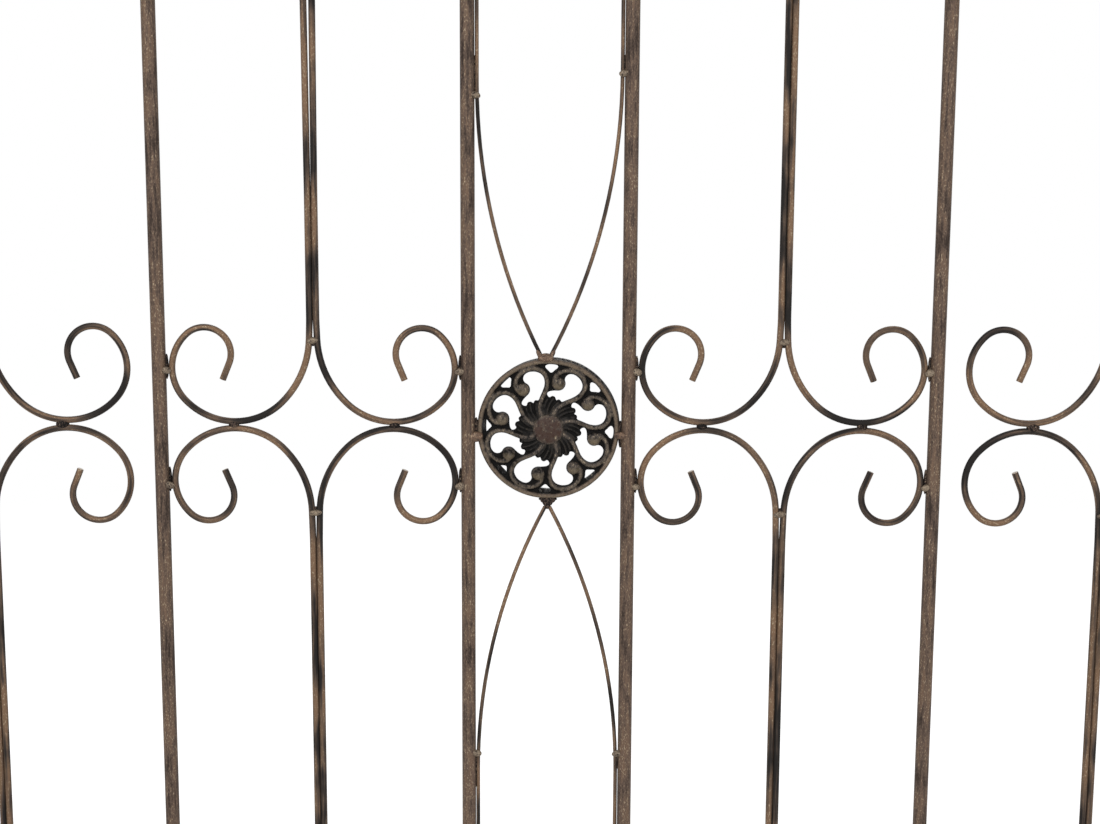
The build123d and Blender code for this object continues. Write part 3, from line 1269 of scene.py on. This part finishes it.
@dataclass
class Frame:
    """The end posts with their plates and caps, and the two rails."""

    post_corner: float = 1.8 * MM
    rail_corner: float = 1.5 * MM
    plate_corner: float = 6.0 * MM
    plate_edge: float = 0.6 * MM
    hole_diameter: float = 9.0 * MM
    hole_spacing: float = 56.0 * MM
    cap_edge: float = 3.0 * MM
    cap_top: float = 4.0 * MM
    cap_step: float = 1.5 * MM
    cap_flat: float = 8.1 * MM
    cap_bevel: float = 0.35 * MM
    spigot_size: float = 21.7 * MM

    def block(self, name: str, low: Vector, high: Vector, corner: float, steps: int) -> Piece:
        """Models a block whose long or upright edges are broken.

        Args:
            name: The object's name.
            low: Its lowest corner.
            high: Its highest corner.
            corner: How much is taken off its edges.
            steps: In how many steps they are rounded.

        Returns:
            The block.
        """
        sizes = high - low
        along = 0 if sizes.x > sizes.z and sizes.x > 2 * sizes.y else 2
        Bench.clear()
        bpy.ops.mesh.primitive_cube_add(size=1, location=(low + high) / 2)
        bpy.context.object.scale = sizes
        block = Bench.settle(name)
        Bench.open_mesh(block)
        Bench.pick(
            block,
            Element.EDGE,
            lambda edge: abs((edge.verts[1].co - edge.verts[0].co).normalized()[along]) > 0.99,
        )
        bpy.ops.mesh.bevel(offset=corner, segments=steps, affect="EDGES")
        Bench.close_mesh()
        return block

    def finish(self, piece: Piece, axes: str) -> Piece:
        """Smooths and dresses a piece, with its axes as across, depth and along."""
        Bench.smooth(piece)
        Bench.mark_grain(piece, lambda spot: Vector([getattr(spot, axis) for axis in axes]))
        return dress(piece, STEEL_FRAME)

    def tube(self, node: str, name: str, corner: float) -> Piece:
        """Models a post or a rail as large as its node."""
        low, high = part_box(node)
        axes = "zyx" if high.x - low.x > high.z - low.z else "xyz"
        return self.finish(self.block(name, low, high, corner, 4), axes)

    def plate(self, node: str, name: str) -> Piece:
        """Models a base plate with clipped corners and four bolt holes."""
        low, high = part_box(node)
        plate = self.block(name, low, high, self.plate_corner, 1)
        middle = (low + high) / 2
        drills = []
        for right in Side:
            for deep in Side:
                Bench.clear()
                bpy.ops.mesh.primitive_cylinder_add(
                    vertices=40,
                    radius=self.hole_diameter / 2,
                    depth=3 * (high.z - low.z),
                    location=middle + Vector((right.value, deep.value, 0)) * self.hole_spacing / 2,
                )
                drills.append(Bench.settle("drill"))
        drill = Bench.join(drills, "drill")
        Bench.modify(plate, "BOOLEAN", operation="DIFFERENCE", solver="EXACT", object=drill)
        bpy.data.objects.remove(drill)
        Bench.modify(plate, "BEVEL", width=self.plate_edge, segments=2, limit_method="ANGLE")
        return self.finish(plate, "yzx")

    def cap(self, node: str, name: str) -> Piece:
        """Models a cap: an edge, a low pyramid, and the spigot inside the post."""
        low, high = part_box(node)
        foot = high.z - self.cap_top - self.cap_edge
        edge_low, edge_high = low.copy(), high.copy()
        edge_low.z, edge_high.z = foot, foot + self.cap_edge
        cap = self.block(name, edge_low, edge_high, self.post_corner, 4)
        wide = high.x - low.x
        narrow = self.cap_flat / (wide - 2 * self.cap_step)
        peak = ((low.x + high.x) / 2, (low.y + high.y) / 2, high.z)
        Bench.open_mesh(cap)
        Bench.pick(cap, Element.FACE, lambda face: face.normal.z > 0.9)
        bpy.ops.mesh.inset(thickness=self.cap_step)
        bpy.ops.mesh.extrude_region_move(TRANSFORM_OT_translate={"value": (0, 0, self.cap_top)})
        bpy.ops.transform.resize(value=(narrow, narrow, 1), center_override=peak)
        Bench.pick(cap, Element.FACE, lambda face: face.normal.z < -0.9)
        bpy.ops.mesh.inset(thickness=(wide - self.spigot_size) / 2)
        bpy.ops.mesh.extrude_region_move(TRANSFORM_OT_translate={"value": (0, 0, low.z - foot)})
        Bench.close_mesh()
        Bench.modify(cap, "BEVEL", width=self.cap_bevel, segments=2, limit_method="ANGLE")
        return self.finish(cap, "yzx")

    def build(self) -> None:
        """Sets posts, plates, caps and rails on their nodes."""
        for side in Side:
            post, plate, cap = (f"{side.word}_{end}" for end in ("post", "base_plate", "post_cap"))
            post_piece = self.tube(post, f"{side.word}_square_post", self.post_corner)
            present(post_piece, Slot.STEEL, post)
            present(self.plate(plate, f"{side.word}_bolted_plate"), Slot.STEEL, plate)
            present(self.cap(cap, f"{side.word}_cap"), Slot.STEEL, cap)
        for end in ("bottom", "top"):
            rail = self.tube(f"{end}_rail", f"{end}_square_rail", self.rail_corner)
            present(rail, Slot.STEEL, f"{end}_rail")


# Weld beads


@dataclass(frozen=True)
class Bead:
    """One lump of weld metal in millimetres: its middle, half sizes, and anticlockwise turn."""

    x: float
    y: float
    z: float
    half_x: float
    half_y: float
    half_z: float
    turn: float = 0.0

    def place(self, origin: Vector) -> Matrix:
        """What turns a unit ball at the origin into the bead, from a point of the panel."""
        spot = origin + Vector((self.x, self.y, self.z)) * MM
        sizes = Matrix.Diagonal((self.half_x * MM, self.half_y * MM, self.half_z * MM, 1.0))
        return Matrix.Translation(spot) @ about_front(self.turn) @ sizes


@dataclass
class Welds:
    """The weld metal between wires, bars, rails and posts, and what carries the rosette."""

    pair_height: dict[Level, float] = by_level(76.6, 80.6)
    pair_reach: dict[Level, float] = by_level(4.8, 5.8)
    bar_drop: dict[Level, float] = by_level(-2.0, -4.0)
    bar_contact: float = 51.3
    bar_reach: float = 130.9
    inner_scroll_contact: float = 72.0
    outer_scroll_contact: float = 67.0
    outer_growth: float = 1.25
    bar_radius: float = 6.6
    wire_offset: float = 3.5
    lancet_x: float = 63.45
    post_half: float = 12.5
    rail_half: float = 10.0
    rail_height: float = 500.0
    # How uneven a ball's surface gets
    rough: float = 0.9 * MM
    fill_rough: float = 0.45 * MM
    low_rough: float = 0.3 * MM
    least_rough: float = 0.2 * MM
    lump_size: float = 2.6 * MM
    # Beads from the middle of the rosette: at the bars, under the upper lancets, and dark ones that
    # also paint the shade in the gaps
    bar_beads: tuple[Bead, ...] = (
        Bead(66.0, -3.6, -5.2, 7.2, 3.2, 3.6, -2),
        Bead(-65.0, -3.8, -6.8, 6.6, 3.4, 4.8, 10),
    )
    lancet_webs: tuple[Bead, ...] = (
        Bead(-2.4, -1.8, 64.0, 7.4, 3.2, 3.6),
        Bead(-8.3, -0.9, 67.4, 2.0, 2.2, 5.0, 27),
        Bead(3.3, -0.9, 67.4, 2.0, 2.2, 5.0, -27),
        Bead(-2.4, -0.9, 66.0, 5.6, 2.6, 2.8),
    )
    rosette_fills: tuple[Bead, ...] = (
        Bead(-64.6, 0.2, 1.0, 2.0, 2.6, 9.5),
        Bead(64.7, 0.2, -4.5, 2.0, 2.6, 12.5),
        Bead(0, 0.2, -64.4, 8.4, 3.0, 2.2),
        Bead(-0.1, -0.8, -65.9, 6.6, 2.8, 2.6),
        Bead(-0.3, -1.0, -67.4, 4.6, 2.6, 3.6),
        Bead(-0.6, -0.6, -70.2, 2.8, 2.2, 3.4),
    )
    random: Random = seeded(5)

    def lumps(
        self,
        name: str,
        finish: Finish,
        spots: list[tuple[Vector, Bead]],
        roughness: float,
        *replaced: str,
        detail: int = 4,
    ) -> None:
        """Models beads as one piece, with a rough surface, and sets it in the frame.

        Args:
            name: The piece's name.
            finish: Its finish.
            spots: The beads, each after the point that it is placed from.
            roughness: How uneven they are.
            *replaced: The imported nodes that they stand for.
            detail: How finely the ball that they are made from is divided.
        """
        Bench.clear()
        bpy.ops.mesh.primitive_ico_sphere_add(subdivisions=detail, radius=1.0)
        ball = Bench.settle("bead_pattern")
        parts = [Bench.copy(ball, bead.place(origin)) for origin, bead in spots]
        bpy.data.objects.remove(ball)
        piece = Bench.join(parts, name)
        clouds = bpy.data.textures.get("weld lumps") or bpy.data.textures.new("weld lumps", "CLOUDS")
        clouds.noise_scale = self.lump_size
        Bench.modify(piece, "DISPLACE", texture=clouds, texture_coords="LOCAL", strength=roughness)
        Bench.smooth(piece, 180)
        present(dress(piece, finish), Slot.WELD, *replaced)

    def bay_beads(self, bay: Bay) -> tuple[list[Bead], list[Bead]]:
        """The weld metal of one wide bay, from its middle and the row.

        Args:
            bay: The bay.

        Returns:
            The brushed beads, and the dark weld lumps that fill the corners behind them and paint the
            shade in those narrow gaps.
        """
        beads, shade_fills = [], []
        for level in Level:
            up = level.value
            height = self.pair_height[level]
            beads.append(Bead(0, -2.6, up * height, self.pair_reach[level], 2.6, 2.9, 8))
            shade_fills.append(Bead(0, 0, up * (height - 1.4), 2.8, 2.3, 4.2))
            for side in Side:
                if side is bay.free_side:
                    continue
                x = side.value * self.bar_reach
                z = up * self.bar_contact
                size = self.random.uniform(0.9, 1.15)
                wide, tall = 4.3 * size, 3.2 * size
                beads.append(Bead(x, -3.2, z + self.bar_drop[level], wide, 2.8, tall, 15 * side.value))
                shade_fills.append(Bead(x, 0.4, z + 1, 1.7, 2.0, 11.5))
        outer = bay.free_side is not None
        size = self.outer_growth if outer else 1.0
        contact = self.outer_scroll_contact if outer else self.inner_scroll_contact
        for side in Side:
            shade_fills.append(Bead(side.value * contact, -0.8, 0, 4.8 * size, 3.4, 3.3 * size))
        return beads, shade_fills

    def lancet_beads(self) -> tuple[list[Bead], list[Bead]]:
        """The weld metal that holds the lancet wires to the inner bars, from rosette and row.

        Returns:
            One brushed bead to a wire, and the dark weld lumps beyond them, which paint the shade
            between wire and bar.
        """
        heights = {
            (Side.LEFT, Level.UPPER): 292.8,
            (Side.RIGHT, Level.UPPER): 311.8,
            (Side.LEFT, Level.LOWER): -307.2,
            (Side.RIGHT, Level.LOWER): -307.2,
        }
        reach = {Side.LEFT: 17.0, Side.RIGHT: 8.0}
        beads, shade_fills = [], []
        for (side, level), height in heights.items():
            x = side.value * 65.0
            beads.append(Bead(x, -2.9, height, 5.0, 2.6, 3.1, 12.0 * side.value))
            half = reach[side]
            shade_fills.append(Bead(x + side.value * 0.4, 0.0, height + level.value * half, 1.3, 1.8, half))
        return beads, shade_fills

    def small(self, x: float, y: float, z: float, size: float) -> Bead:
        """One small bead of a seam, a little uneven."""
        grown = size * self.random.uniform(0.85, 1.2)
        return Bead(x, y, z, grown, grown, grown * 0.85)

    def square_seam(self, half: float, count: int, upright: bool, size: float) -> list[Bead]:
        """A seam round a square tube.

        Args:
            half: Half the tube's width.
            count: How many beads lie along each side.
            upright: Whether the tube stands; otherwise it lies along the panel.
            size: Half a bead's size.

        Returns:
            The beads, from the middle of the joint.
        """
        beads = []
        for index in range(count):
            step = half * (2 * (index + 0.5) / count - 1)
            for edge in (-half - size / 3, half + size / 3):
                for first, second in ((edge, step), (step, edge)):
                    spot = (first, second, 0.0) if upright else (0.0, first, second)
                    beads.append(self.small(*spot, size))
        return beads

    def round_seam(self, radius: float, count: int, size: float) -> list[Bead]:
        """A seam round the end of an upright round bar or wire, from its axis."""
        turns = [2 * pi * index / count for index in range(count)]
        return [self.small(radius * cos(turn), radius * sin(turn), 0.0, size) for turn in turns]

    def frame_seams(self) -> list[tuple[Vector, Bead]]:
        """The seams between posts, plates and rails, as beads after the points they start from."""
        seams = []
        for side in Side:
            post = node_centre(f"{side.word}_post")
            foot = Vector((post.x, post.y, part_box(f"{side.word}_base_plate")[1].z))
            seams += [(foot, bead) for bead in self.square_seam(self.post_half, 11, True, 1.7)]
            for rail in ("bottom", "top"):
                joint = node_centre(f"{rail}_rail")
                joint.x = post.x - side.value * self.post_half * MM
                seams += [(joint, bead) for bead in self.square_seam(self.rail_half, 10, False, 1.5)]
        return seams

    def rail_seams(self, rosette_x: float) -> list[tuple[Vector, Bead]]:
        """The seams where bars and wires meet the rails.

        Args:
            rosette_x: Where the rosette's axis is.

        Returns:
            The beads, each after the point that it is placed from.
        """
        feet: list[tuple[float, list[Bead]]] = []
        for bay in BAYS:
            feet.append((node_centre(bay.bar).x, self.round_seam(self.bar_radius, 16, 1.2)))
            for turn in Side:
                x = bay.middle() + turn.value * self.wire_offset * MM
                feet.append((x, self.round_seam(3.1, 9, 0.9)))
        for side in Side:
            x = rosette_x + side.value * self.lancet_x * MM
            feet.append((x, self.round_seam(1.9, 6, 0.7)))
        seams = []
        for level in Level:
            joint = row_height() + (self.rail_height - self.rail_half) * level.value * MM
            for x, beads in feet:
                seams += [(Vector((x, 0.0, joint)), bead) for bead in beads]
        return seams

    def build(self) -> None:
        """Sets the beads of every bay, the rosette and the frame."""
        row = row_height()
        rosette = node_centre("rosette")
        for bay in BAYS:
            origin = Vector((bay.middle(), 0.0, row))
            beads, shade_fills = self.bay_beads(bay)
            spots = [(origin, bead) for bead in beads]
            self.lumps(f"{bay.name}_beads", WELD_METAL, spots, self.rough)
            # Dark lumps that also paint the shade in the narrow gaps
            spots = [(origin, bead) for bead in shade_fills]
            self.lumps(f"{bay.name}_fills", GAP_SHADE_WELD, spots, self.fill_rough)
        middle = Vector((rosette.x, 0.0, rosette.z))
        spots = [(middle, bead) for bead in self.bar_beads]
        self.lumps("rosette_beads", SEAM_WELD, spots, self.rough, "rosette_welds")
        spots = [(middle, bead) for bead in self.lancet_webs]
        self.lumps("rosette_web", SEAM_WELD, spots, self.low_rough)
        # Dark lumps at the rosette that also paint the shade in its gaps
        spots = [(middle, bead) for bead in self.rosette_fills]
        self.lumps("rosette_fills", GAP_SHADE_WELD, spots, self.low_rough)
        origin = Vector((rosette.x, 0.0, row))
        beads, shade_fills = self.lancet_beads()
        self.lumps("lancet_beads", WELD_METAL, [(origin, bead) for bead in beads], self.rough)
        self.lumps("lancet_fills", GAP_SHADE_WELD, [(origin, bead) for bead in shade_fills], self.least_rough)
        self.lumps("frame_seams", SEAM_WELD, self.frame_seams(), self.low_rough, detail=2)
        seams = self.rail_seams(rosette.x)
        self.lumps("rail_seams", SEAM_WELD, seams, self.least_rough, detail=2)


# The studio


@dataclass(frozen=True)
class Studio:
    """The floor, the lamps, the white surround and the camera."""

    camera_place: Place = (0.6432, -1.706, 0.9032)
    tilt: float = 10.0
    yaw: float = 0.16
    roll: float = 0.26
    focal_pixels: float = 1932.0
    image_width: float = 1100.0
    sensor_width: float = 36.0
    target: Place = (0.646, 0.0, 0.6)
    surround: Point = (0.62, 1.0)
    floor_size: float = 30.0

    def camera(self) -> None:
        """Sets the camera where the photograph was taken from."""
        tilt, yaw, roll = radians(self.tilt), radians(self.yaw), radians(self.roll)
        ahead = Vector((sin(yaw) * cos(tilt), cos(yaw) * cos(tilt), -sin(tilt)))
        right = ahead.cross(Vector((0, 0, 1))).normalized()
        up = right.cross(ahead)
        x_axis = right * cos(roll) + up * sin(roll)
        y_axis = up * cos(roll) - right * sin(roll)
        turn = Matrix((x_axis, y_axis, -ahead)).transposed().to_4x4()
        data = bpy.data.cameras.new("camera")
        data.sensor_width = self.sensor_width
        data.lens = self.focal_pixels * self.sensor_width / self.image_width
        camera = bpy.data.objects.new("camera", data)
        bpy.context.scene.collection.objects.link(camera)
        camera.matrix_world = Matrix.Translation(self.camera_place) @ turn
        bpy.context.scene.camera = camera

    def lamp(self, name: str, place: Place, size: float, power: float) -> None:
        """Adds a soft square lamp that faces the panel.

        Args:
            name: The lamp's name.
            place: Where it stands.
            size: The length of its side.
            power: Its power in watts.
        """
        data = bpy.data.lights.new(name, "AREA")
        data.size = size
        data.energy = power
        lamp = bpy.data.objects.new(name, data)
        bpy.context.scene.collection.objects.link(lamp)
        turn = (Vector(self.target) - Vector(place)).to_track_quat("-Z", "Y")
        lamp.matrix_world = Matrix.Translation(place) @ turn.to_matrix().to_4x4()

    def world(self) -> None:
        """Makes the surround white for the eye and for gloss, and plain as a light."""
        world = bpy.data.worlds.new("white surround")
        world.use_nodes = True
        graph = Graph(world.node_tree)
        path = graph.node("ShaderNodeLightPath").outputs
        seen = graph.math("MAXIMUM", path["Is Camera Ray"], path["Is Glossy Ray"])
        seen = graph.math("MAXIMUM", seen, path["Is Transmission Ray"])
        level = graph.spread(seen, self.surround)
        light = graph.node("ShaderNodeBackground", {"Color": WHITE, "Strength": level})
        graph.node("ShaderNodeOutputWorld", {"Surface": light.outputs["Background"]})
        bpy.context.scene.world = world

    def floor(self) -> None:
        """Lays the floor under the base plates."""
        Bench.clear()
        bpy.ops.mesh.primitive_plane_add(size=self.floor_size, location=(self.target[0], 0, 0))
        floor = Bench.settle("floor")
        floor.data.materials.append(StudioFloor().material())

    def build(self) -> None:
        """Sets up the studio."""
        bpy.context.scene.view_settings.view_transform = "Standard"
        self.world()
        self.floor()
        self.lamp("key lamp", (-0.9, -2.4, 2.3), size=1.6, power=55.0)
        self.lamp("fill lamp", (2.4, -2.2, 1.4), size=1.8, power=25.0)
        self.lamp("back lamp", (0.6, 2.6, 2.2), size=2.0, power=40.0)
        self.camera()


def main() -> None:
    """Builds the panel piece by piece, and then the studio."""
    logging.basicConfig(level=logging.INFO, format="%(name)s: %(message)s")
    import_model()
    for part in (Bars(), ScrollBays(), Lancets(), Rosette(), Frame(), Welds(), Studio()):
        part.build()


if __name__ == "__main__":
    main()
